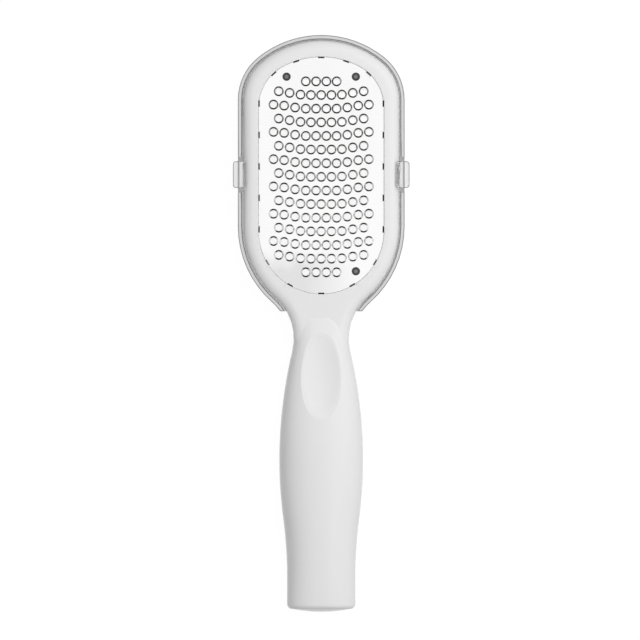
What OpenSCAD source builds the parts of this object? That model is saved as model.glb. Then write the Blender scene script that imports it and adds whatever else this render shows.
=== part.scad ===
/* [Overall] */
// Length from the tip of the catcher to the end of the grip
overall_l = 200; // [192:1:215]
// Depth of the catcher and of the grip below the parting line
back_d = 11.5; // [10:0.5:15]
// Wall of the two moulded handle shells
shell_wall = 2; // [1.6:0.1:2.6]

/* [Head] */
// Width of the white frame beside the plate
frame_side = 5.35; // [5:0.05:6.5]
// Width of the white frame above the plate
frame_top = 5.8; // [5:0.1:6.5]
// How far the flanks begin above the plate's round lower end
flank_up = 1.6; // [0:0.1:3]
// Radius of the tip of the head
crown_r = 33; // [31:0.5:38]
// Radius of the two upper corners of the head
shoulder_r = 17; // [14:0.5:20]
// Radius of the two flanks that run in to the neck
flank_r = 33; // [31:0.5:37]
// Height of the head's face above the parting line
head_t = 6; // [5.8:0.1:7]
// How far the rounded edge of the face reaches in
edge_in = 3.6; // [2.5:0.1:4.2]
// How far the rounded edge of the face drops
edge_drop = 3; // [2:0.1:3.4]
// Wall of the head frame round its hollow back
frame_wall = 1.8; // [1.4:0.1:2.2]
// Thickness of the skirt round the window
skirt_t = 1.2; // [1:0.1:1.4]
// Thickness of the ledge that carries the plate
ledge_t = 2; // [1.6:0.1:2.4]
// Width of the ledge under the edge of the plate
ledge_w = 2.4; // [2.2:0.1:2.6]
// Thickness of the cross ribs behind the ledge
rib_t = 1.2; // [0.8:0.1:1.6]
// How far the hollow behind the frame reaches below the plate
channel_reach = 3.6; // [3:0.1:4]

/* [Rasp plate] */
// Width of the steel plate
plate_w = 43.3; // [43:0.1:45]
// Length of the steel plate
plate_l = 82; // [80:0.5:83]
// Thickness of the steel sheet
plate_t = 0.5; // [0.4:0.05:0.6]
// Radius of the upper end of the plate
plate_crown_r = 28; // [26:0.5:32]
// Radius of the two upper corners of the plate
plate_shoulder_r = 16; // [14:0.5:18]
// Gap round the plate in its recess
plate_gap = 0.1; // [0.1:0.05:0.25]
// How far the plate's surface lies below the face of the head
plate_sink = 0.2; // [0:0.05:0.4]

/* [Teeth] */
// Distance between rows
row_pitch = 4.725; // [4.4:0.005:4.9]
// Distance between teeth in the middle of a row
tooth_pitch = 3.56; // [3.5:0.01:3.85]
// Least distance from the plate's ends to the first and the last row
row_end = 7; // [6.5:0.1:8]
// Least distance from the plate's sides to the teeth at the ends of a row
row_side = 4.5; // [4:0.1:5]
// Teeth in the first and the last row
end_teeth = 4; // [2:2:4]
// Diameter of the hole in each tooth
tooth_hole = 2.4; // [2:0.05:2.6]
// Diameter of each tooth where it leaves the sheet
tooth_base = 3.45; // [3:0.05:3.45]
// Height of the cutting edge above the sheet
tooth_h = 0.8; // [0.5:0.05:1]
// How far the ends of the longest rows bow towards the tip
row_bow = 1.4; // [0:0.1:1.6]
// How far the ends of the longest rows spread outwards
row_spread = 0.5; // [0:0.1:0.6]
// Half width of the straight middle of each row
row_flat = 5; // [3:0.5:8]
// Distance of the middle row below the middle of the plate
rows_low = 0.5; // [0:0.1:1]

/* [Tabs] */
// Width of the bent tabs at the edge of the plate
tab_w = 2.2; // [1.8:0.1:2.6]
// Inside radius of the tabs' upper bend
tab_bend_r = 0.3; // [0.2:0.05:0.4]
// Inside radius of the clinched bend under the ledge
clinch_r = 0.15; // [0.1:0.01:0.2]
// Length of the clinched foot under the ledge
tab_foot = 1; // [0.7:0.1:1.3]
// Distance between the tabs on the straight sides
tab_pitch = 10.9; // [10:0.1:11]
// Height of the first side tab above the lower round end
tab_first = 0.65; // [0.3:0.05:1.2]
// Angle between the tabs on the upper end
crown_tab_a = 18.1; // [15:0.1:20]
// Angle of the tabs on the upper corners above the side
corner_tab_a = 47.2; // [44:0.1:50]
// Angle between the tabs round the lower end
low_tab_a = 30; // [28:1:32]
// Play beside each tab in its slot
tab_play = 0.2; // [0.15:0.05:0.3]

/* [Rivets] */
// Diameter of the domed heads
rivet_head_d = 2.9; // [2.6:0.1:3.2]
// Height of the domed heads
rivet_head_h = 0.8; // [0.6:0.05:1]
// Diameter of the shanks
rivet_d = 1.6; // [1.4:0.1:1.8]
// Length of the shanks below the plate
rivet_l = 3.4; // [3:0.1:3.6]
// Gap round and under the shanks
rivet_gap = 0.05; // [0.05:0.01:0.1]
// Distance of the rivets from the middle line
rivet_x = 12; // [11.6:0.1:12.4]
// Distance of the upper rivets from the upper end of the plate
rivet_top = 6.8; // [6.5:0.1:7.1]
// Distance of the lower rivet from the lower end of the plate
rivet_low = 7.8; // [7.5:0.1:8]
// Diameter of the bosses that hold the rivets
boss_d = 5.2; // [4.8:0.1:5.4]
// Thickness of the bosses under the rivets
boss_floor = 0.8; // [0.6:0.1:1]

/* [Neck and grip] */
// Width of the neck at its narrowest
neck_w = 19.1; // [17:0.1:22]
// Radius of the hollow sides of the neck
neck_r = 18.5; // [16:0.5:21]
// How far the nose of the grip reaches past the narrowest part of the neck
nose_l = 7.1; // [5:0.1:8]
// Greatest width of the grip
grip_w = 29.1; // [27:0.1:33]
// Distance of the widest part from the end of the grip
grip_from_end = 52.7; // [48:0.1:58]
// Height of the grip's crest above the parting line
grip_h = 10.5; // [9.5:0.1:13]
// Width of the grip at its end
end_w = 23.7; // [21:0.1:25]
// Length over which the grip narrows to its end width
end_taper_l = 40.7; // [36:0.1:44]
// Height of the grip's end above the parting line
end_h = 7.8; // [7:0.1:9]
// Depth of the grip's end below the parting line
end_d = 8.6; // [7:0.1:9.5]
// Depth of the neck below the parting line
neck_d = 2.8; // [2.4:0.1:4]
// Crown of the grip's end
end_crown = 1; // [0.5:0.1:2]
// Radius round the grip's end
end_r = 1.6; // [1:0.1:2.5]
// Fullness of the grip's section, where 2 is an ellipse
grip_power = 2.3; // [2:0.1:3]
// Fullness of the neck's section
neck_power = 3; // [2.4:0.1:4]

/* [Thumb dimple] */
// Length of the dimple
dimple_l = 29; // [24:0.1:30]
// Width of the dimple
dimple_w = 13; // [10:0.1:14]
// Depth of the dimple below its rim
dimple_d = 0.8; // [0.6:0.1:1]
// Distance of the dimple's middle below the narrowest part of the neck
dimple_y = 13.2; // [11:0.1:18]
// Width of the nearly level rim round the dimple
dimple_rim = 0.5; // [0.3:0.05:0.8]
// Depth of the hollow that the rim makes by itself
rim_d = 0.3; // [0.2:0.05:0.4]

/* [Shell joint] */
// Diameter of the locating pegs
peg_d = 3; // [2.4:0.1:3.6]
// How far the pegs reach past the parting line
peg_l = 3; // [2:0.1:4]
// Play round and under the pegs
peg_gap = 0.15; // [0.1:0.05:0.3]
// Wall of the sockets that take the pegs
socket_wall = 1.6; // [1.2:0.1:2]
// Distance of the upper peg above the widest part of the grip
peg_up = 18; // [12:1:22]
// Distance of the middle peg below the widest part of the grip
peg_down = 12; // [6:1:18]
// Distance of the last peg from the end of the grip
peg_end = 16; // [12:1:20]

/* [Catcher] */
// Wall of the clear catcher
catcher_wall = 1.5; // [1.2:0.1:1.8]
// Gap between the catcher and the handle
fit_gap = 0.4; // [0.3:0.05:0.5]
// Height of the rim above the parting line
rim_h = 3.8; // [3:0.1:4]
// Width of the ledge that the head sits on
catcher_ledge = 1.2; // [1:0.1:1.4]
// How far the catcher's walls lean in towards its floor
catcher_draft = 1.6; // [1:0.1:2]
// Radius between the walls and the floor
catcher_r = 3.5; // [2.5:0.1:4]
// Radius of the catcher's corners behind the neck
catcher_corner_r = 2.5; // [1.5:0.1:3]
// Radius of the rim's ends beside the neck
rim_corner_r = 0.8; // [0.5:0.1:1.2]
// Place of the rim's ends above the narrowest part of the neck
rim_end = 9.3; // [9:0.1:9.8]
// Radius of the rim's outer top edge
rim_edge_r = 0.4; // [0.2:0.1:0.6]

/* [Ears] */
// Length of the two ears along the catcher
ear_l = 9.4; // [8:0.1:11]
// Distance of the ears from the tip of the catcher
ear_from_tip = 48.4; // [44:0.1:52]
// How far the ears stand out from the rim
ear_out = 1.7; // [1.2:0.1:2.2]
// How far the ears stand above the rim
ear_up = 0.6; // [0.4:0.1:0.8]
// How far the hooks reach over the head
ear_hook = 0.9; // [0.6:0.1:1.2]
// Thickness of the hooks
hook_t = 1.3; // [1:0.1:1.6]
// Gap between the hooks and the head
hook_gap = 0.15; // [0.1:0.05:0.3]
// Radius of the ears' corners
ear_r = 1.2; // [0.6:0.1:1.6]
// Width of the slits that free the ears from the rim
slit_w = 0.9; // [0.6:0.1:1.2]

/* [Hidden] */

// Steps of the curves, and how far a cut runs past the face it opens
arc_steps = 8;
edge_steps = 6;
grip_stations = 30;
grip_steps = 24;
hollow_stations = 12;
hollow_steps = 12;
tooth_fn = 13;
round_fn = 24;
past = 1;

part_z = back_d;
face_z = part_z + head_t;
tip_y = overall_l / 2;
end_y = -overall_l / 2;

// Centres of the arcs that make the plate's outline
rim_off = fit_gap + catcher_wall;
head_tip_y = tip_y - rim_off;
plate_top = head_tip_y - frame_top;
plate_low = plate_top - plate_l;
plate_crown_c = [0, plate_top - plate_crown_r];
plate_shoulder_c = corner_centre(plate_crown_c, plate_crown_r, plate_w / 2, plate_shoulder_r);
plate_shoulder_a = direction(plate_crown_c, plate_shoulder_c);
plate_low_c = [0, plate_low + plate_w / 2];

// Centres of the arcs that make the head's outline round the plate
head_w = plate_w + 2 * frame_side;
crown_c = [0, head_tip_y - crown_r];
shoulder_c = corner_centre(crown_c, crown_r, head_w / 2, shoulder_r);
flank_c = [head_w / 2 - flank_r, plate_low_c.y + flank_up];
neck_cx = neck_w / 2 + neck_r;
neck_y = flank_c.y - sqrt(pow(flank_r + neck_r, 2) - pow(neck_cx - flank_c.x, 2));
neck_c = [neck_cx, neck_y];
shoulder_a = direction(crown_c, shoulder_c);
flank_a = direction(flank_c, neck_c);

// Levels of the plate, the ledge under it and the hollow under that
plate_z = face_z - plate_sink;
ledge_z = plate_z - plate_t;
under_z = ledge_z - ledge_t;
rows_mid = plate_low + plate_l / 2 - rows_low;
rows = 2 * floor((plate_l / 2 - row_end) / row_pitch) + 1;
row_teeth = floor((plate_w - 2 * row_side) / tooth_pitch) + 1;
side_tabs = round((plate_shoulder_c.y - plate_low_c.y) / tab_pitch);
rivets = [[-rivet_x, plate_top - rivet_top], [rivet_x, plate_top - rivet_top],
          [rivet_x, plate_low + rivet_low]];

// Stations and side arcs of the grip
wide_y = end_y + grip_from_end;
waist_y = wide_y - end_taper_l;
nose_y = neck_y + nose_l;
rim_end_y = neck_y + rim_end;
neck_span = neck_cx - grip_w / 2;
side_r = (pow(neck_span, 2) + pow(neck_y - wide_y, 2) - pow(neck_r, 2)) / (2 * (neck_r - neck_span));
side_c = [grip_w / 2 - side_r, wide_y];
side_top_y = wide_y + side_r * sin(direction(side_c, neck_c));
taper_drop = (grip_w - end_w) / 2;
taper_r = (pow(end_taper_l, 2) + pow(taper_drop, 2)) / (4 * taper_drop);
dimple_cy = neck_y - dimple_y;
dimple_size = [dimple_w / 2, dimple_l / 2];
rim_size = dimple_size + [dimple_rim, dimple_rim];
peg_ys = [wide_y + peg_up, wide_y - peg_down, end_y + peg_end];

// The head block's tail, which is buried in the grip
tail_l = 6;
tail_in = 1;

// Place of the ears and the height of their hooks over the rounded edge
ear_y = tip_y - ear_from_tip;
hook_z = face_z - edge_drop * (1 - sin(acos(1 - ear_hook / edge_in))) + hook_gap;

function direction(a, b) = atan2(b.y - a.y, b.x - a.x);
function smooth(t) = let (u = min(max(t, 0), 1)) u * u * (3 - 2 * u);
function sag(r, d) = r - sqrt(r * r - d * d);
function arc_radius(span, drop) = (span * span + drop * drop) / (2 * drop);

// Centre of the arc that joins a crown arc to a straight side
function corner_centre(c, r, half_w, corner_r) =
    let (x = half_w - corner_r) [x, c.y + sqrt(pow(r - corner_r, 2) - x * x)];

// Arc without its first point, so that arcs follow on from one another
function arc(c, r, a0, a1, n = arc_steps) =
    [for (i = [1:n]) let (a = a0 + (a1 - a0) * i / n) c + r * [cos(a), sin(a)]];
function flip(pts) = [for (p = pts) [-p.x, p.y]];
function reverse(pts) = [for (i = [len(pts) - 1:-1:0]) pts[i]];

// Right side of the head from its tip to the neck, moved out by off
function head_side(off, stop_a) = concat(
    arc(crown_c, crown_r + off, 90, shoulder_a),
    arc(shoulder_c, shoulder_r + off, shoulder_a, 0),
    [flank_c + [flank_r + off, 0]],
    arc(flank_c, flank_r + off, 0, flank_a),
    arc(neck_c, neck_r - off, flank_a + 180, stop_a));

// Closed outline of a tip point, one side and its mirror image, and points between their ends
function closed(tip, side, between = []) = concat([[0, tip]], flip(side), between, reverse(side));

// Outline of the head, ending in the tail
function head_outline(off) = closed(head_tip_y + off,
    concat(head_side(off, 180), [[neck_w / 2 + off - tail_in, neck_y - tail_l]]));

// Outline of the catcher, cut straight across behind the neck with round corners
function catcher_outline(off, corner_r) =
    let (y = rim_end_y + rim_off - off + corner_r,
        c = [neck_cx - sqrt(pow(neck_r - off + corner_r, 2) - pow(y - neck_y, 2)), y],
        a = direction(c, neck_c))
    closed(head_tip_y + off, concat(head_side(off, a + 180), arc(c, corner_r, a, -90, 4)));

// Outline of the plate, moved out by off
function plate_outline(off) =
    let (n = 2 * arc_steps, side = concat(
        arc(plate_crown_c, plate_crown_r + off, 90, plate_shoulder_a),
        arc(plate_shoulder_c, plate_shoulder_r + off, plate_shoulder_a, 0),
        [plate_low_c + [plate_w / 2 + off, 0]],
        arc(plate_low_c, plate_w / 2 + off, 0, 90 / n - 90, n - 1)))
    closed(plate_top + off, side, [[0, plate_low - off]]);

// Half width, height above and depth below the parting line of the handle at y
function side_w(y) =
    y > side_top_y ? neck_cx - sqrt(pow(neck_r, 2) - pow(y - neck_y, 2)) :
    y > wide_y ? grip_w / 2 - sag(side_r, y - wide_y) :
    y > (wide_y + waist_y) / 2 ? grip_w / 2 - sag(taper_r, wide_y - y) :
    y > waist_y ? end_w / 2 + sag(taper_r, y - waist_y) : end_w / 2;
function front_h(y) = y > wide_y
    ? grip_h - sag(arc_radius(nose_y - wide_y, grip_h - head_t), y - wide_y)
    : grip_h - sag(arc_radius(wide_y - end_y, grip_h - end_h), wide_y - y);
function back_h(y) = y > wide_y
    ? back_d - sag(arc_radius(rim_end_y - wide_y, back_d - neck_d), y - wide_y)
    : back_d - sag(arc_radius(wide_y - end_y, back_d - end_d), wide_y - y);
function half_h(y, up) = up > 0 ? front_h(y) : back_h(y);
function power(y) = let (t = (y - wide_y) / (neck_y - wide_y))
    grip_power + (neck_power - grip_power) * min(max(t, 0), 1);

// Half section of the handle, where up is 1 for the front and -1 for the back
function half_ring(y, w, h, up, steps) = [for (i = [0:steps])
    let (a = 180 * i / steps, c = cos(a), p = 2 / power(y))
    [up * w * sign(c) * pow(abs(c), p), y, part_z + up * h * pow(sin(a), p)]];

// Joins rings of points into one closed solid
module loft(rings) {
    n = len(rings[0]);
    last = (len(rings) - 1) * n;
    sides = [for (k = [0:len(rings) - 2], i = [0:n - 1])
        let (a = k * n + i, b = k * n + (i + 1) % n) each [[a, a + n, b + n], [a, b + n, b]]];
    polyhedron(
        points = [for (r = rings) each r],
        faces = concat([[for (i = [0:n - 1]) i]], [[for (i = [n - 1:-1:0]) last + i]], sides));
}

// Loft through flat outlines, each at its own height
module levels(outlines, zs) {
    loft([for (k = [0:len(zs) - 1]) [for (p = outlines[k]) [p.x, p.y, zs[k]]]]);
}

// Plate with rounded corners between two corners of a rectangle
module rounded_plate(low, high, r, h) {
    size = high - low;
    linear_extrude(h) translate(low) {
        translate([r, 0]) square([size.x - 2 * r, size.y]);
        translate([0, r]) square([size.x, size.y - 2 * r]);
        for (x = [r, size.x - r], y = [r, size.y - r]) translate([x, y]) circle(r, $fn = round_fn);
    }
}

// Solid half of the handle from y0 down to its crowned end
module grip_half(y0, up) {
    body_end = end_y + end_crown + end_r;
    body = [for (t = [0:grip_stations])
        let (y = y0 + (body_end - y0) * t / grip_stations, buried = up > 0 && y > neck_y)
        half_ring(y, buried ? neck_w / 2 : side_w(y), half_h(y, up), up, grip_steps)];
    corner = [for (a = [22.5:22.5:90])
        let (in = end_r * (1 - cos(a)), y = end_y + end_crown + end_r * (1 - sin(a)))
        half_ring(y, side_w(y) - in, half_h(y, up) - in, up, grip_steps)];
    cap = [for (s = [0.7, 0.35, 0.05])
        let (w = end_w / 2 - end_r, h = half_h(end_y, up) - end_r)
        half_ring(end_y + end_crown * s * s, s * w, s * h, up, grip_steps)];
    loft(concat(body, corner, cap));
}

// Hollow inside one half, open at the parting line
module grip_hollow(y0, up) {
    low = end_y + end_crown + end_r + shell_wall;
    loft([for (t = [0:hollow_stations])
        let (y = y0 + (low - y0) * t / hollow_stations, w = side_w(y) - shell_wall,
            h = half_h(y, up) - shell_wall, z = part_z - up * past)
        concat([[up * w, y, z]], half_ring(y, w, h, up, hollow_steps), [[-up * w, y, z]])]);
}

// White front moulding: head frame, neck and front of the grip
module handle_front() color([0.93, 0.93, 0.92]) {
    difference() {
        union() {
            difference() {
                union() {
                    head_block();
                    grip_half(nose_y + tail_l, 1);
                }
                head_recess();
                head_channel();
                neck_core();
                difference() {
                    grip_hollow(neck_y - tail_l / 2, 1);
                    dimple(dimple_size, dimple_d, shell_wall);
                }
            }
            bosses();
            pegs();
        }
        dimple(dimple_size, dimple_d, 0);
        dimple(rim_size, rim_d, 0);
        at_tabs() tab_slot();
        rivet_bores();
    }
}

// Head with its softly rounded face
module head_block() {
    turns = [for (i = [0:edge_steps]) 90 * i / edge_steps];
    levels(
        concat([head_outline(0)], [for (a = turns) head_outline(edge_in * (cos(a) - 1))]),
        concat([part_z], [for (a = turns) face_z - edge_drop * (1 - sin(a))]));
}

// Recess for the plate and the window that the filings fall through
module head_recess() {
    translate([0, 0, ledge_z]) linear_extrude(face_z - ledge_z + past) polygon(plate_outline(plate_gap));
    translate([0, 0, part_z - past]) linear_extrude(head_t + past) polygon(plate_outline(-ledge_w));
}

// Hollow behind the frame, open at the back, with ribs between the side tabs
channel_low = plate_low - channel_reach;
module head_channel() {
    difference() {
        translate([0, 0, part_z - past]) linear_extrude(under_z - part_z + past) difference() {
            intersection() {
                polygon(head_outline(-frame_wall));
                translate([-head_w / 2, channel_low]) square([head_w, tip_y - channel_low]);
            }
            polygon(plate_outline(skirt_t - ledge_w));
        }
        for (k = [0:side_tabs - 1])
            translate([-head_w / 2, plate_low_c.y + tab_first + (k + 0.5) * tab_pitch - rib_t / 2, part_z])
                cube([head_w, rib_t, head_t]);
    }
}

// Pocket that keeps the wall of the neck even
module neck_core() {
    core_w = neck_w / 2;
    low = [-core_w / 2, neck_y + shell_wall / 2];
    high = [core_w / 2, channel_low - frame_wall / 2];
    translate([0, 0, part_z - past]) rounded_plate(low, high, core_w / 4, under_z - part_z + past);
}

// Part of a ring that lies along the slope of the grip and cuts a hollow for the thumb. It has the
// half width and half length of size, is deep below its sides, and grows by wall.
module dimple(size, deep, wall) {
    h = front_h(dimple_cy);
    p = power(dimple_cy);
    high_h = front_h(dimple_cy + rim_size.y);
    low_h = front_h(dimple_cy - rim_size.y);
    side_fall = h * (1 - pow(1 - pow(rim_size.x / side_w(dimple_cy), p), 1 / p));
    depth = deep + side_fall;
    tube_r = arc_radius(size.x, deep);
    ring_r = arc_radius(size.y, depth - h + (high_h + low_h) / 2);
    slope = atan((high_h - low_h) / (2 * rim_size.y));
    reach = 1.4;
    reach_a = asin(reach * size.y / ring_r);
    translate([0, dimple_cy, part_z + h - depth]) rotate([slope, 0, 0]) translate([0, 0, ring_r])
        rotate([0, 90, 0]) rotate(-reach_a) rotate_extrude(angle = 2 * reach_a, $fn = 360) intersection() {
            translate([ring_r - tube_r, 0]) circle(tube_r + wall, $fn = 180);
            translate([ring_r - depth - past, -reach * size.x])
                square([depth + past + wall, 2 * reach * size.x]);
        }
}

module bosses() {
    for (r = rivets) translate([r.x, r.y, ledge_z - rivet_l - boss_floor])
        cylinder(h = rivet_l + boss_floor, d = boss_d, $fn = 32);
}

module rivet_bores() {
    for (r = rivets) translate([r.x, r.y, ledge_z - rivet_l - rivet_gap])
        cylinder(h = rivet_l + rivet_gap + past, d = rivet_d + 2 * rivet_gap, $fn = round_fn);
}

module pegs() {
    for (y = peg_ys) translate([0, y, part_z - peg_l])
        cylinder(h = peg_l + front_h(y) - shell_wall / 2, d = peg_d, $fn = round_fn);
}

module tab_slot() {
    bend = tab_bend_r + plate_t;
    outer = max(plate_gap, clinch_r);
    translate([-bend, -tab_w / 2 - tab_play, under_z - past])
        cube([bend + outer, tab_w + 2 * tab_play, ledge_t + 2 * past]);
}

// White back moulding of the neck and the grip
module handle_back() color([0.9, 0.9, 0.89]) {
    start = rim_end_y - fit_gap;
    difference() {
        union() {
            difference() {
                grip_half(start, -1);
                grip_hollow(start - shell_wall, -1);
            }
            for (y = peg_ys) translate([0, y, part_z - back_h(y) + shell_wall / 2])
                cylinder(h = back_h(y) - shell_wall / 2, d = peg_d + 2 * (peg_gap + socket_wall), $fn = 32);
        }
        for (y = peg_ys) translate([0, y, part_z - peg_l - peg_gap])
            cylinder(h = peg_l + peg_gap + past, d = peg_d + 2 * peg_gap, $fn = round_fn);
    }
}

// Stamped steel sheet with raised cutting rings and bent tabs
module rasp_plate() color("silver") {
    bend = tab_bend_r + plate_t;
    relief = tab_w + 2 * tab_play;
    difference() {
        union() {
            translate([0, 0, ledge_z]) linear_extrude(plate_t) difference() {
                polygon(plate_outline(0));
                at_tabs() translate([-bend, -relief / 2]) square([2 * bend, relief]);
            }
            at_teeth() tooth();
        }
        at_teeth() translate([0, 0, ledge_z - past])
            cylinder(h = plate_t + tooth_h + 2 * past, d = tooth_hole, $fn = tooth_fn);
        for (r = rivets) translate([r.x, r.y, ledge_z - past])
            cylinder(h = plate_t + 2 * past, d = rivet_d + 2 * rivet_gap, $fn = round_fn);
    }
    at_tabs() tab();
}

// Places its children at each tooth
module at_teeth() {
    reach = (row_teeth - 1) / 2 * tooth_pitch;
    for (i = [0:rows - 1]) {
        n = i == 0 || i == rows - 1 ? end_teeth : row_teeth - i % 2;
        y = rows_mid + ((rows - 1) / 2 - i) * row_pitch;
        for (k = [0:n - 1]) {
            x = (k - (n - 1) / 2) * tooth_pitch;
            bend = smooth((abs(x) - row_flat) / (reach - row_flat));
            translate([x + sign(x) * row_spread * bend, y + row_bow * bend, 0]) children();
        }
    }
}

// Cone that the hole turns into a sharp cutting ring
module tooth() {
    run_out = 0.25;
    tip_d = tooth_hole - (tooth_base - tooth_hole) * run_out;
    translate([0, 0, plate_z - plate_t / 2]) cylinder(h = plate_t / 2, d = tooth_base, $fn = tooth_fn);
    translate([0, 0, plate_z])
        cylinder(h = tooth_h * (1 + run_out), d1 = tooth_base, d2 = tip_d, $fn = tooth_fn);
}

// Places its children at each tab, with X outwards and Y along the edge
module at_tabs() {
    for (a = [-crown_tab_a, 0, crown_tab_a]) on_arc(plate_crown_c, plate_crown_r, 90 + a) children();
    on_arc(plate_shoulder_c, plate_shoulder_r, corner_tab_a) children();
    on_arc([-plate_shoulder_c.x, plate_shoulder_c.y], plate_shoulder_r, 180 - corner_tab_a) children();
    for (k = [0:side_tabs], a = [0, 180])
        on_arc(plate_low_c + [0, tab_first + k * tab_pitch], plate_w / 2, a) children();
    for (k = [-2:2]) on_arc(plate_low_c, plate_w / 2, -90 + k * low_tab_a) children();
}

module on_arc(c, r, a) {
    translate(c) rotate(a) translate([r, 0]) children();
}

// Tab: upper bend, leg through the ledge, and a foot clinched outwards under it
module tab() {
    bend = tab_bend_r + plate_t;
    turn_z = under_z + clinch_r;
    rotate([90, 0, 0]) translate([0, 0, -tab_w / 2]) linear_extrude(tab_w) {
        translate([-bend, plate_z - bend]) quarter(tab_bend_r, bend, 0);
        translate([-plate_t, turn_z]) square([plate_t, plate_z - bend - turn_z]);
        translate([clinch_r, turn_z]) quarter(clinch_r, clinch_r + plate_t, 180);
        translate([clinch_r, under_z - plate_t]) square([tab_foot, plate_t]);
    }
}

// Quarter of a flat ring, from angle a
module quarter(r0, r1, a) {
    rotate(a) intersection() {
        difference() {
            circle(r1, $fn = round_fn);
            circle(r0, $fn = round_fn);
        }
        square(r1);
    }
}

// Domed rivet that pins the plate to its boss
module rivet(place) color([0.5, 0.5, 0.52]) {
    dome_r = arc_radius(rivet_head_d / 2, rivet_head_h);
    shank_l = plate_t + rivet_l;
    translate([place.x, place.y, plate_z]) {
        translate([0, 0, -shank_l]) cylinder(h = shank_l + rivet_head_h / 2, d = rivet_d, $fn = round_fn);
        rotate_extrude($fn = 32) intersection() {
            translate([0, rivet_head_h - dome_r]) circle(dome_r, $fn = 64);
            square([rivet_head_d / 2, rivet_head_h]);
        }
    }
}
module rivet_left() rivet(rivets[0]);
module rivet_right() rivet(rivets[1]);
module rivet_lower() rivet(rivets[2]);

// Clear tray that clips round the head from behind
module catcher() color([0.8, 0.86, 0.9, 0.5]) {
    difference() {
        union() {
            difference() {
                tray_outside();
                tray_inside();
            }
            for (m = [0, 1]) mirror([m, 0, 0]) ear();
        }
        translate([0, 0, part_z]) linear_extrude(hook_z - part_z) polygon(head_outline(fit_gap));
        for (m = [0, 1]) mirror([m, 0, 0]) ear_slits();
    }
}

tray_top_off = catcher_wall - catcher_ledge;
tray_low_off = tray_top_off - catcher_draft;
module tray_outside() {
    turns = [90:-22.5:0];
    low = [for (a = turns) tray_low_off - catcher_r * (1 - cos(a))];
    low_z = [for (a = turns) catcher_r * (1 - sin(a))];
    rim_turns = [0:30:90];
    rim = [for (a = rim_turns) rim_off - rim_edge_r * (1 - cos(a))];
    rim_z = [for (a = rim_turns) part_z + rim_h - rim_edge_r * (1 - sin(a))];
    levels(
        concat([for (o = concat(low, [tray_top_off])) catcher_outline(o, catcher_corner_r)],
            [for (o = concat([rim_off], rim)) catcher_outline(o, rim_corner_r)]),
        concat(low_z, [part_z - catcher_wall, part_z - catcher_wall], rim_z));
}

module tray_inside() {
    turns = [90:-30:0];
    inner_r = catcher_r - catcher_wall;
    low = [for (a = turns) tray_low_off - catcher_wall - inner_r * (1 - cos(a))];
    low_z = [for (a = turns) catcher_wall + inner_r * (1 - sin(a))];
    levels(
        [for (o = concat(low, [-catcher_ledge, -catcher_ledge])) catcher_outline(o, catcher_corner_r)],
        concat(low_z, [part_z - catcher_wall, part_z + past]));
}

// Ear: an outer thumb tab and a hook over the edge of the head
module ear() {
    rim_x = head_w / 2 + rim_off;
    low_y = ear_y - ear_l / 2;
    high_y = ear_y + ear_l / 2;
    translate([0, 0, part_z])
        rounded_plate([rim_x - catcher_wall, low_y], [rim_x + ear_out, high_y], ear_r, rim_h + ear_up);
    translate([0, 0, part_z + rim_h / 2])
        rounded_plate([rim_x - catcher_wall, low_y], [rim_x, high_y], catcher_wall / 3,
            hook_z + hook_t - part_z - rim_h / 2);
    translate([0, 0, hook_z])
        rounded_plate([head_w / 2 - ear_hook, low_y], [rim_x, high_y], ear_r, hook_t);
}

module ear_slits() {
    for (y = [ear_y - ear_l / 2 - slit_w, ear_y + ear_l / 2])
        translate([head_w / 2, y, part_z]) cube([rim_off + past, slit_w, rim_h + past]);
}

handle_front();
handle_back();
rasp_plate();
rivet_left();
rivet_right();
rivet_lower();
catcher();
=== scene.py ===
import math

import bmesh
import bpy
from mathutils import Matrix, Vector


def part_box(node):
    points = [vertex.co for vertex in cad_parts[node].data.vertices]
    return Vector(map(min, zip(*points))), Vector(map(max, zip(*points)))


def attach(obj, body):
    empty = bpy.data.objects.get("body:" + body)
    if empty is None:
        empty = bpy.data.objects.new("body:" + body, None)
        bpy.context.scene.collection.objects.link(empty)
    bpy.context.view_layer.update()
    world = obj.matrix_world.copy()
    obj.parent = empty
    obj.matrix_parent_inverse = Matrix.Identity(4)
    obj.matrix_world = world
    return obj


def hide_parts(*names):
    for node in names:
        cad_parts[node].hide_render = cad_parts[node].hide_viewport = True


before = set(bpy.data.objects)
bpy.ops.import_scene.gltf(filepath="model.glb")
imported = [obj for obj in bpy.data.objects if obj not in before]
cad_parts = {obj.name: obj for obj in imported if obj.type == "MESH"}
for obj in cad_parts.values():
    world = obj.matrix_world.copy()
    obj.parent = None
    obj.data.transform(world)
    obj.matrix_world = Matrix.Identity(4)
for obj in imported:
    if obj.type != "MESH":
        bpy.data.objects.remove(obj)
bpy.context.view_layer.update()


# Front moulding
# The white front half of the rasp: head frame, neck and front of the grip in one gloss ABS shell.
# It comes out of one mould, so its edges are only just broken and its faces run smoothly on.

grip_low_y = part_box("handle_back")[0].y
grip_end_inset = 0.004
shells_meet_to_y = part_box("handle_back")[1].y
parting_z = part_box("handle_back")[1].z
head_face_z = parting_z + 0.006

merge_distance = 0.000002
same_level = 0.00003
broken_above_angle = 35
lip_round, seam_round = 0.0002, 0.00015

nose_from_y, nose_to_y = -0.0042, 0.0035
nose_from_z = parting_z + 0.003
nose_least_bend = 2.5

thumb_middle_y = -0.0183
thumb_half_w, thumb_half_l = 0.007, 0.015
thumb_slant = 0.02
# The outer and the inner edge of the dimple's rim: from and to, as shares of the half sizes, and
# the least bend in degrees.
thumb_rims = ((0.97, 1.05, 7.8), (0.87, 0.95, 3.2))

white_dark, white_bright = 0.82, 0.828
cloud_low, cloud_high = 0.3, 0.7


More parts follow.
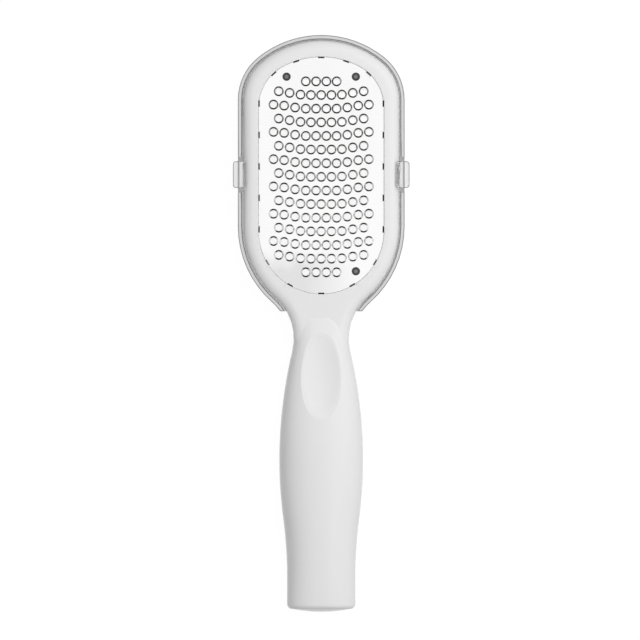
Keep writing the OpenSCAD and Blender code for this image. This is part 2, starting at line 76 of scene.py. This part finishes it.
def moulded(name, node, finish, crease, rounds=(), kept=()):
    """A merged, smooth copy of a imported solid. Rounds lists which edges are broken, and how wide.
    Edges that bend by more than crease, in degrees, stay crisp, and so do those kept names."""
    work = bmesh.new()
    work.from_mesh(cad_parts[node].data)
    bmesh.ops.remove_doubles(work, verts=work.verts, dist=merge_distance)
    for picks, width in rounds:
        picked = [edge for edge in work.edges if len(edge.link_faces) == 2
                  and edge.calc_face_angle(0) > math.radians(broken_above_angle) and picks(edge)]
        bmesh.ops.bevel(work, geom=picked, offset=width, affect="EDGES", segments=3,
                        profile=0.5, material=-1)
    for edge in work.edges:
        crisp = edge.calc_face_angle(0) > math.radians(crease) or any(picks(edge) for picks in kept)
        edge.smooth = not crisp
    for face in work.faces:
        face.smooth = True
    mesh = bpy.data.meshes.new(name)
    work.to_mesh(mesh)
    work.free()
    mesh.materials.clear()
    mesh.materials.append(finish)
    piece = bpy.data.objects.new(name, mesh)
    bpy.context.scene.collection.objects.link(piece)
    evened = piece.modifiers.new("evened", "WEIGHTED_NORMAL")
    evened.keep_sharp = True
    return piece


def middle_of(edge):
    """The point halfway along an edge."""
    return (edge.verts[0].co + edge.verts[1].co) / 2


def at_level(edge, z):
    """Whether an edge lies flat at a height."""
    return all(abs(v.co.z - z) < same_level for v in edge.verts)


def wall_looks(edge, outward):
    """Whether the steeper of the two faces beside an edge looks outward."""
    wall = min(edge.link_faces, key=lambda face: abs(face.normal.z))
    return wall.normal.dot(outward) > 0


def on_lip(edge):
    """The edge of the head's face round the recess of the plate."""
    return at_level(edge, head_face_z) and min(v.co.y for v in edge.verts) > shells_meet_to_y


def on_outer_seam(edge):
    """The outer edge of a shell where the two halves of the grip meet."""
    if not at_level(edge, parting_z) or max(v.co.y for v in edge.verts) > shells_meet_to_y:
        return False
    middle = middle_of(edge)
    return wall_looks(edge, Vector((middle.x, min(middle.y - grip_low_y - grip_end_inset, 0), 0)))


def on_nose(edge):
    """The valley line where the nose of the grip rises out of the head's face."""
    middle = middle_of(edge)
    return (nose_from_y < middle.y < nose_to_y and len(edge.link_faces) == 2
            and middle.z > nose_from_z and not edge.is_convex
            and edge.calc_face_angle(0) > math.radians(nose_least_bend))


def on_thumb_rim(edge):
    """The outer and the inner edge of the nearly level rim round the thumb dimple."""
    if len(edge.link_faces) != 2 or edge.verts[0].co.z < head_face_z or not edge.is_convex:
        return False
    far = [math.hypot(v.co.x / thumb_half_w, (v.co.y - thumb_middle_y) / thumb_half_l)
           for v in edge.verts]
    bend = math.degrees(edge.calc_face_angle(0))
    return abs(far[0] - far[1]) <= thumb_slant and any(
        low < min(far) and max(far) < high and bend > least for low, high, least in thumb_rims)


def plain_finish(name):
    """A new node material and its Principled shader."""
    finish = bpy.data.materials.new(name)
    finish.use_nodes = True
    return finish, finish.node_tree.nodes["Principled BSDF"]


def cloudy_group():
    """Soft cloudy variation on Object coordinates, as a value about 0.5."""
    group = bpy.data.node_groups.new("soft_variation", "ShaderNodeTree")
    for socket, kind in (("Scale", "Float"), ("Detail", "Float"), ("Stretch", "Vector")):
        group.interface.new_socket(socket, in_out="INPUT", socket_type="NodeSocket" + kind)
    group.interface.new_socket("Value", in_out="OUTPUT", socket_type="NodeSocketFloat")
    nodes, links = group.nodes, group.links
    ins = nodes.new("NodeGroupInput")
    outs = nodes.new("NodeGroupOutput")
    surface = nodes.new("ShaderNodeTexCoord")
    stretch = nodes.new("ShaderNodeVectorMath")
    stretch.operation = "MULTIPLY"
    clouds = nodes.new("ShaderNodeTexNoise")
    links.new(surface.outputs["Object"], stretch.inputs[0])
    links.new(ins.outputs["Stretch"], stretch.inputs[1])
    links.new(stretch.outputs[0], clouds.inputs["Vector"])
    links.new(ins.outputs["Scale"], clouds.inputs["Scale"])
    links.new(ins.outputs["Detail"], clouds.inputs["Detail"])
    links.new(clouds.outputs["Fac"], outs.inputs["Value"])
    return group


soft_variation = cloudy_group()


def add_variation(finish, scale, detail, stretch=(1, 1, 1)):
    """Places the variation group in a material and returns its value."""
    node = finish.node_tree.nodes.new("ShaderNodeGroup")
    node.node_tree = soft_variation
    node.inputs["Scale"].default_value = scale
    node.inputs["Detail"].default_value = detail
    node.inputs["Stretch"].default_value = stretch
    return node.outputs["Value"]


def map_value(finish, value, low, high, from_low, from_high):
    """Maps a value that varies over the surface to a range, and holds it there."""
    node = finish.node_tree.nodes.new("ShaderNodeMapRange")
    node.inputs["From Min"].default_value = from_low
    node.inputs["From Max"].default_value = from_high
    node.inputs["To Min"].default_value = low
    node.inputs["To Max"].default_value = high
    finish.node_tree.links.new(value, node.inputs["Value"])
    return node.outputs["Result"]


def clouded(finish, low, high, scale, detail, stretch=(1, 1, 1)):
    """A value that drifts between two ends in soft clouds."""
    return map_value(finish, add_variation(finish, scale, detail, stretch), low, high,
                     cloud_low, cloud_high)


def mix_colours(finish, amount, first, second):
    """Mixes two greys by an amount that varies. Either may itself vary over the surface."""
    node = finish.node_tree.nodes.new("ShaderNodeMix")
    node.data_type = "RGBA"
    links = finish.node_tree.links
    links.new(amount, node.inputs[0])
    for socket, colour in ((node.inputs[6], first), (node.inputs[7], second)):
        if isinstance(colour, bpy.types.NodeSocket):
            links.new(colour, socket)
        else:
            socket.default_value = (colour, colour, colour, 1)
    return node.outputs[2]


def dress(finish, shader, colour, roughness):
    """Gives a shader its colour and roughness, which both vary over the surface."""
    finish.node_tree.links.new(colour, shader.inputs["Base Color"])
    finish.node_tree.links.new(roughness, shader.inputs["Roughness"])


def add_bump(finish, shader, height, strength, distance):
    """Lets a height that varies over the surface tilt the shading."""
    node = finish.node_tree.nodes.new("ShaderNodeBump")
    node.inputs["Strength"].default_value = strength
    node.inputs["Distance"].default_value = distance
    finish.node_tree.links.new(height, node.inputs["Height"])
    finish.node_tree.links.new(node.outputs["Normal"], shader.inputs["Normal"])


white_abs, white_shader = plain_finish("white_abs")
white_shader.inputs["IOR"].default_value = 1.5
white_clouds = clouded(white_abs, 0, 1, scale=35, detail=2)
dress(white_abs, white_shader, mix_colours(white_abs, white_clouds, white_dark, white_bright),
      clouded(white_abs, 0.18, 0.24, scale=220, detail=4))
add_bump(white_abs, white_shader, add_variation(white_abs, scale=90, detail=2),
         strength=0.005, distance=0.0005)

front = moulded("front_moulding", "handle_front", white_abs, crease=28,
                rounds=((on_lip, lip_round), (on_outer_seam, seam_round)), kept=(on_nose, on_thumb_rim))
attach(front, "root")
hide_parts("handle_front")


# Rasp plate
# One stamped sheet of bright stainless steel, held by bent tabs round its edge. Each ring is punched
# up into a cone with a sharp rim. Its steep flank is painted near black as a painted dark reflection,
# with a painted highlight on its right side and at both sides near the neck.

sheet_dark, sheet_bright, painted_reflection_tone = 0.93, 0.97, 0.76
painted_reflection_x, painted_reflection_y = (-0.006, 0.012), (0.019, 0.026)
painted_reflection_wander = 0.002
flank_painted_shade, flank_painted_highlight = 0.01, 0.98
flank_up, flank_aside = (0.72, 0.93), (0.45, 0.75)
rings_x, painted_highlight_y = (0.0192, 0.0200), (0.03, 0.095)
right_share, painted_highlight_least = 0.4, 0.55


def parts_of(finish, kind):
    """The X, Y and Z of the Normal or of the Object position over a surface."""
    tree = finish.node_tree
    surface = tree.nodes.new("ShaderNodeTexCoord")
    parts = tree.nodes.new("ShaderNodeSeparateXYZ")
    tree.links.new(surface.outputs[kind], parts.inputs["Vector"])
    return parts.outputs


def combine(finish, operation, first, second=0.0):
    """A value that varies over a surface, worked out from one or two others."""
    node = finish.node_tree.nodes.new("ShaderNodeMath")
    node.operation = operation
    for socket, value in zip(node.inputs, (first, second)):
        if isinstance(value, bpy.types.NodeSocket):
            finish.node_tree.links.new(value, socket)
        else:
            socket.default_value = value
    return node.outputs[0]


plate_steel, plate_shader = plain_finish("bright_sheet_steel")
plate_shader.inputs["Metallic"].default_value = 1.0
tilt, place = parts_of(plate_steel, "Normal"), parts_of(plate_steel, "Object")

# Painted reflection: towards the lower left the sheet is painted grey, a painted dark reflection with a
# wandering edge.
wander = clouded(plate_steel, -painted_reflection_wander, painted_reflection_wander, scale=120, detail=2)
toward_low = combine(plate_steel, "ADD", place["Y"], wander)
painted_dark_reflection = combine(plate_steel, "MULTIPLY", map_value(plate_steel, toward_low, 1, 0, *painted_reflection_y),
                map_value(plate_steel, place["X"], 1, 0, *painted_reflection_x))
sheet_clouds = clouded(plate_steel, 0, 1, scale=30, detail=2)
sheet_tone = mix_colours(plate_steel, sheet_clouds, sheet_dark, sheet_bright)
sheet_tone = mix_colours(plate_steel, painted_dark_reflection, sheet_tone, painted_reflection_tone)

# Painted dark reflection on the flank. The painted highlight lightens its right-facing side, and both
# sides towards the neck, in uneven clouds.
flank = map_value(plate_steel, tilt["Z"], 1, 0, *flank_up)
to_right = map_value(plate_steel, tilt["X"], 0, 1, *flank_aside)
to_side = map_value(plate_steel, combine(plate_steel, "ABSOLUTE", tilt["X"]), 0, 1, *flank_aside)
low_half = map_value(plate_steel, place["Y"], 1, 0, *painted_highlight_y)
painted_flank_highlight = combine(plate_steel, "MAXIMUM", combine(plate_steel, "MULTIPLY", to_right, right_share),
                   combine(plate_steel, "MULTIPLY", to_side, low_half))
on_rings = map_value(plate_steel, combine(plate_steel, "ABSOLUTE", place["X"]), 1, 0, *rings_x)
uneven = clouded(plate_steel, painted_highlight_least, 1, scale=700, detail=1)
for share in (on_rings, uneven):
    painted_flank_highlight = combine(plate_steel, "MULTIPLY", painted_flank_highlight, share)
flank_painted_tone = mix_colours(plate_steel, painted_flank_highlight, flank_painted_shade, flank_painted_highlight)
dress(plate_steel, plate_shader, mix_colours(plate_steel, flank, sheet_tone, flank_painted_tone),
      clouded(plate_steel, 0.22, 0.34, scale=260, detail=4, stretch=(1, 8, 1)))
add_bump(plate_steel, plate_shader,
         add_variation(plate_steel, scale=400, detail=3, stretch=(1, 10, 1)),
         strength=0.03, distance=0.0002)

plate = moulded("rasp_sheet", "rasp_plate", plate_steel, crease=32)
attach(plate, "root")
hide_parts("rasp_plate")


# Rivets
# Three small domed steel rivets, painted dark as a painted dark reflection with a painted highlight
# on the crown, pressed through the sheet into bosses of the head: two near the tip and one near the
# neck, on the right.

crown_up = (0.86, 0.99)
rivet_painted_shade, crown_painted_highlight = 0.075, 0.23

rivet_steel, rivet_shader = plain_finish("rivet_steel_painted_reflection")
rivet_shader.inputs["Metallic"].default_value = 1.0
# Painted highlight where the dome faces up, over the painted dark reflection of its sides.
painted_crown_highlight = map_value(rivet_steel, parts_of(rivet_steel, "Normal")["Z"], 0, 1, *crown_up)
dress(rivet_steel, rivet_shader, mix_colours(rivet_steel, painted_crown_highlight, rivet_painted_shade, crown_painted_highlight),
      clouded(rivet_steel, 0.45, 0.6, scale=900, detail=3))

for side in ("left", "right", "lower"):
    rivet = moulded("domed_rivet_" + side, "rivet_" + side, rivet_steel, crease=30)
    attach(rivet, "root")
    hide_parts("rivet_" + side)


# Back moulding
# The plain white back half of the neck and grip, moulded in the same ABS. It meets the front half
# at the parting line on pegs, and nothing on the outside fastens it.

back = moulded("back_moulding", "handle_back", white_abs, crease=28,
               rounds=((on_outer_seam, seam_round),))
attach(back, "root")
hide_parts("handle_back")


# Catcher
# The clear tray that clips on behind the head, moulded in one piece with its rim and two ears. Its
# outline is painted grey as painted shade: on the rim's top and the ears, darkest along the rounded
# edges, at the step of each hook, in the slits beside the ears and on the seat of the head.

ear_inset, ear_below_tip = 0.0012, 0.0484
ear_from_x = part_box("handle_front")[1].x - ear_inset
ear_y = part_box("catcher")[1].y - ear_below_tip
head_low_y, head_high_y = 0.022, 0.078
slit_from, slit_to = 0.0045, 0.0064
slit_from_x, tab_from_x = 0.0269, 0.0240
hook_to_x, step_x = 0.0278, (0.02815, 0.02900)
rim_top_z = parting_z + 0.0038
rim_from_z = rim_top_z - 0.0006
ear_from_z = rim_top_z + 0.0001
ear_round_from_z = rim_top_z + 0.0003
seat_half_h = 0.0002
rounded_tilt, level_tilt = (0.12, 0.985), 0.9
soft_edge, soft_hook, soft_seat, soft_round, soft_level = 0.0002, 0.0008, 0.00005, 0.08, 0.05
ear_round, rim_round_inside, rim_round_outside = 0.00035, 0.0005, 0.00035

clear_dark, clear_bright = 0.97, 0.99
rim_painted_shade, ear_painted_shade, edge_painted_shade, hook_edge_painted_shade = 0.5, 0.75, 0.06, 0.35
slit_painted_shade, seat_painted_shade, step_painted_shade = 0.4, 0.32, 0.25
depth_tone, depth_density = 0.3, 30

clear_plastic, clear_shader = plain_finish("clear_plastic")
clear_shader.inputs["IOR"].default_value = 1.49
clear_shader.inputs["Transmission Weight"].default_value = 1.0
clear_shader.inputs["Metallic"].default_value = 0.0


def clear_above(value, start, soft=soft_edge):
    """Rises to 1 where a value of the clear plastic passes its start."""
    return map_value(clear_plastic, value, 0, 1, start, start + soft)


def clear_below(value, end, soft=soft_edge):
    """Falls to 0 where a value of the clear plastic comes up to its end."""
    return map_value(clear_plastic, value, 1, 0, end - soft, end)


def clear_both(first, second):
    """Is 1 only where two masks of the clear plastic are."""
    return combine(clear_plastic, "MULTIPLY", first, second)


def clear_band(value, low, high, soft=soft_edge):
    """Is 1 where a value of the clear plastic lies in a range, with soft ends."""
    return clear_both(clear_above(value, low, soft), clear_below(value, high, soft))


clear_place = parts_of(clear_plastic, "Object")
height = clear_place["Z"]
across = combine(clear_plastic, "ABSOLUTE", clear_place["X"])
along = combine(clear_plastic, "ABSOLUTE", combine(clear_plastic, "SUBTRACT", clear_place["Y"], ear_y))
level = combine(clear_plastic, "ABSOLUTE", parts_of(clear_plastic, "Normal")["Z"])

on_rim_top = clear_above(height, rim_from_z)
on_ear_top = clear_above(height, ear_from_z)
on_hook = clear_both(on_ear_top, clear_below(across, hook_to_x, soft_hook))
at_step = clear_both(on_ear_top, clear_band(across, *step_x))
rounded = clear_band(level, *rounded_tilt, soft_round)
at_slit = clear_both(clear_band(along, slit_from, slit_to), clear_above(across, slit_from_x))
on_seat = clear_both(clear_band(height, parting_z - seat_half_h, parting_z + seat_half_h, soft_seat),
                     clear_above(level, level_tilt, soft_level))
by_ear = clear_both(clear_below(along, slit_from + soft_edge), clear_above(across, tab_from_x))
on_seat = clear_both(on_seat, combine(clear_plastic, "SUBTRACT", 1.0, by_ear))

# Painted shade: the clear plastic is tinted grey on the rim's top, the ears, the rounded edges, the
# hooks' steps, the slits and the seat.
painted_edge_shade = mix_colours(clear_plastic, on_hook, edge_painted_shade, hook_edge_painted_shade)
painted_top_shade = mix_colours(clear_plastic, on_ear_top, rim_painted_shade, ear_painted_shade)
for mask, tone in ((at_step, step_painted_shade), (rounded, painted_edge_shade)):
    painted_top_shade = mix_colours(clear_plastic, mask, painted_top_shade, tone)
clear_clouds = clouded(clear_plastic, 0, 1, scale=40, detail=2)
clear_tone = mix_colours(clear_plastic, clear_clouds, clear_dark, clear_bright)
for mask, tone in ((on_rim_top, painted_top_shade), (at_slit, slit_painted_shade), (on_seat, seat_painted_shade)):
    clear_tone = mix_colours(clear_plastic, mask, clear_tone, tone)
dress(clear_plastic, clear_shader, clear_tone,
      clouded(clear_plastic, 0.02, 0.06, scale=300, detail=3))

clear_nodes = clear_plastic.node_tree.nodes
clear_depth = clear_nodes.new("ShaderNodeVolumeAbsorption")
clear_depth.inputs["Color"].default_value = (depth_tone, depth_tone, depth_tone, 1)
clear_depth.inputs["Density"].default_value = depth_density
clear_plastic.node_tree.links.new(clear_depth.outputs["Volume"],
                                  clear_nodes["Material Output"].inputs["Volume"])


def on_rim(edge):
    """The two upper edges of the rim, clear of the ears and their slits."""
    return at_level(edge, rim_top_z) and abs(middle_of(edge).y - ear_y) > slit_to


def on_rim_outside(edge):
    """The outer one of the two upper edges of the rim."""
    middle = middle_of(edge)
    beyond_head_y = middle.y - min(max(middle.y, head_low_y), head_high_y)
    return on_rim(edge) and wall_looks(edge, Vector((middle.x, beyond_head_y, 0)))


def on_rim_inside(edge):
    """The upper edge of the rim beside the head."""
    return on_rim(edge) and not on_rim_outside(edge)


def on_ear(edge):
    """The outer edges of the thumb tabs and hooks that stand above the rim."""
    return edge.is_convex and all(
        abs(v.co.x) > ear_from_x and v.co.z > ear_round_from_z for v in edge.verts)


catcher = moulded("clear_catcher", "catcher", clear_plastic, crease=32,
                  rounds=((on_ear, ear_round), (on_rim_inside, rim_round_inside),
                          (on_rim_outside, rim_round_outside)))
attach(catcher, "root")
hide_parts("catcher")


# Floor
# A plain white studio floor. The camera, gloss and clear plastic see it as white, and it keeps
# a faint contact shadow.

floor_half = 3
floor_drop = 0.0002
floor_albedo, floor_roughness = 0.5, 0.9
floor_glow_level, floor_glow_share = 1.1, 0.88

floor_mesh = bpy.data.meshes.new("floor")
floor_work = bmesh.new()
bmesh.ops.create_grid(floor_work, x_segments=1, y_segments=1, size=floor_half)
bmesh.ops.translate(floor_work, verts=floor_work.verts, vec=(0, 0, -floor_drop))
floor_work.to_mesh(floor_mesh)
floor_work.free()
floor = bpy.data.objects.new("floor", floor_mesh)
bpy.context.scene.collection.objects.link(floor)


def seen_directly(finish):
    """Is 1 for what the camera sees, and for what it sees in gloss and through clear plastic."""
    rays = finish.node_tree.nodes.new("ShaderNodeLightPath").outputs
    seen = combine(finish, "MAXIMUM", rays["Is Camera Ray"], rays["Is Glossy Ray"])
    return combine(finish, "MAXIMUM", seen, rays["Is Transmission Ray"])


floor_white, floor_shader = plain_finish("floor_white")
floor_shader.inputs["Base Color"].default_value = (floor_albedo, floor_albedo, floor_albedo, 1)
floor_shader.inputs["Roughness"].default_value = floor_roughness
floor_nodes, floor_links = floor_white.node_tree.nodes, floor_white.node_tree.links
floor_glow = floor_nodes.new("ShaderNodeEmission")
floor_glow.inputs["Strength"].default_value = floor_glow_level
floor_mix = floor_nodes.new("ShaderNodeMixShader")
floor_share = combine(floor_white, "MULTIPLY", seen_directly(floor_white), floor_glow_share)
floor_links.new(floor_share, floor_mix.inputs["Fac"])
floor_links.new(floor_shader.outputs["BSDF"], floor_mix.inputs[1])
floor_links.new(floor_glow.outputs["Emission"], floor_mix.inputs[2])
floor_links.new(floor_mix.outputs["Shader"], floor_nodes["Material Output"].inputs["Surface"])
floor_mesh.materials.append(floor_white)


# Light and camera
# Soft white studio light: a pale surround, one large soft lamp on the right and a weak one opposite.
# A long lens looks straight down on the rasp, as the photograph does.

surround_level = 0.39

scene = bpy.context.scene
scene.view_settings.view_transform = "Standard"

world = bpy.data.worlds.new("studio")
world.use_nodes = True
scene.world = world
pale = world.node_tree.nodes["Background"]
pale.inputs["Color"].default_value = (1, 1, 1, 1)
pale_level = map_value(world, seen_directly(world), surround_level, 1, 0, 1)
world.node_tree.links.new(pale_level, pale.inputs["Strength"])


def lamp(name, place, size, power):
    """A square soft lamp that faces the middle of the rasp and stays out of the picture."""
    light = bpy.data.lights.new(name, "AREA")
    light.size = size
    light.energy = power
    holder = bpy.data.objects.new(name, light)
    holder.location = place
    holder.rotation_euler = (-Vector(place)).to_track_quat("-Z", "Y").to_euler()
    holder.visible_camera = False
    holder.visible_glossy = False
    scene.collection.objects.link(holder)


lamp("key", place=(0.36, 0.22, 0.75), size=0.85, power=5.5)
lamp("fill", place=(-0.9, 0.5, 1.4), size=1.0, power=0.8)

photo_size_px = 640
photo_px_per_m = 2885
camera_x, camera_y, camera_height = -0.00042, 0.00121, 4.0
in_focus_z = 0.015
sensor_width_mm = 36

camera_data = bpy.data.cameras.new("camera")
camera_data.sensor_width = sensor_width_mm
camera_data.lens = sensor_width_mm * (camera_height - in_focus_z) * photo_px_per_m / photo_size_px
camera_data.clip_end = 20
camera = bpy.data.objects.new("camera", camera_data)
camera.location = (camera_x, camera_y, camera_height)
scene.collection.objects.link(camera)
scene.camera = camera
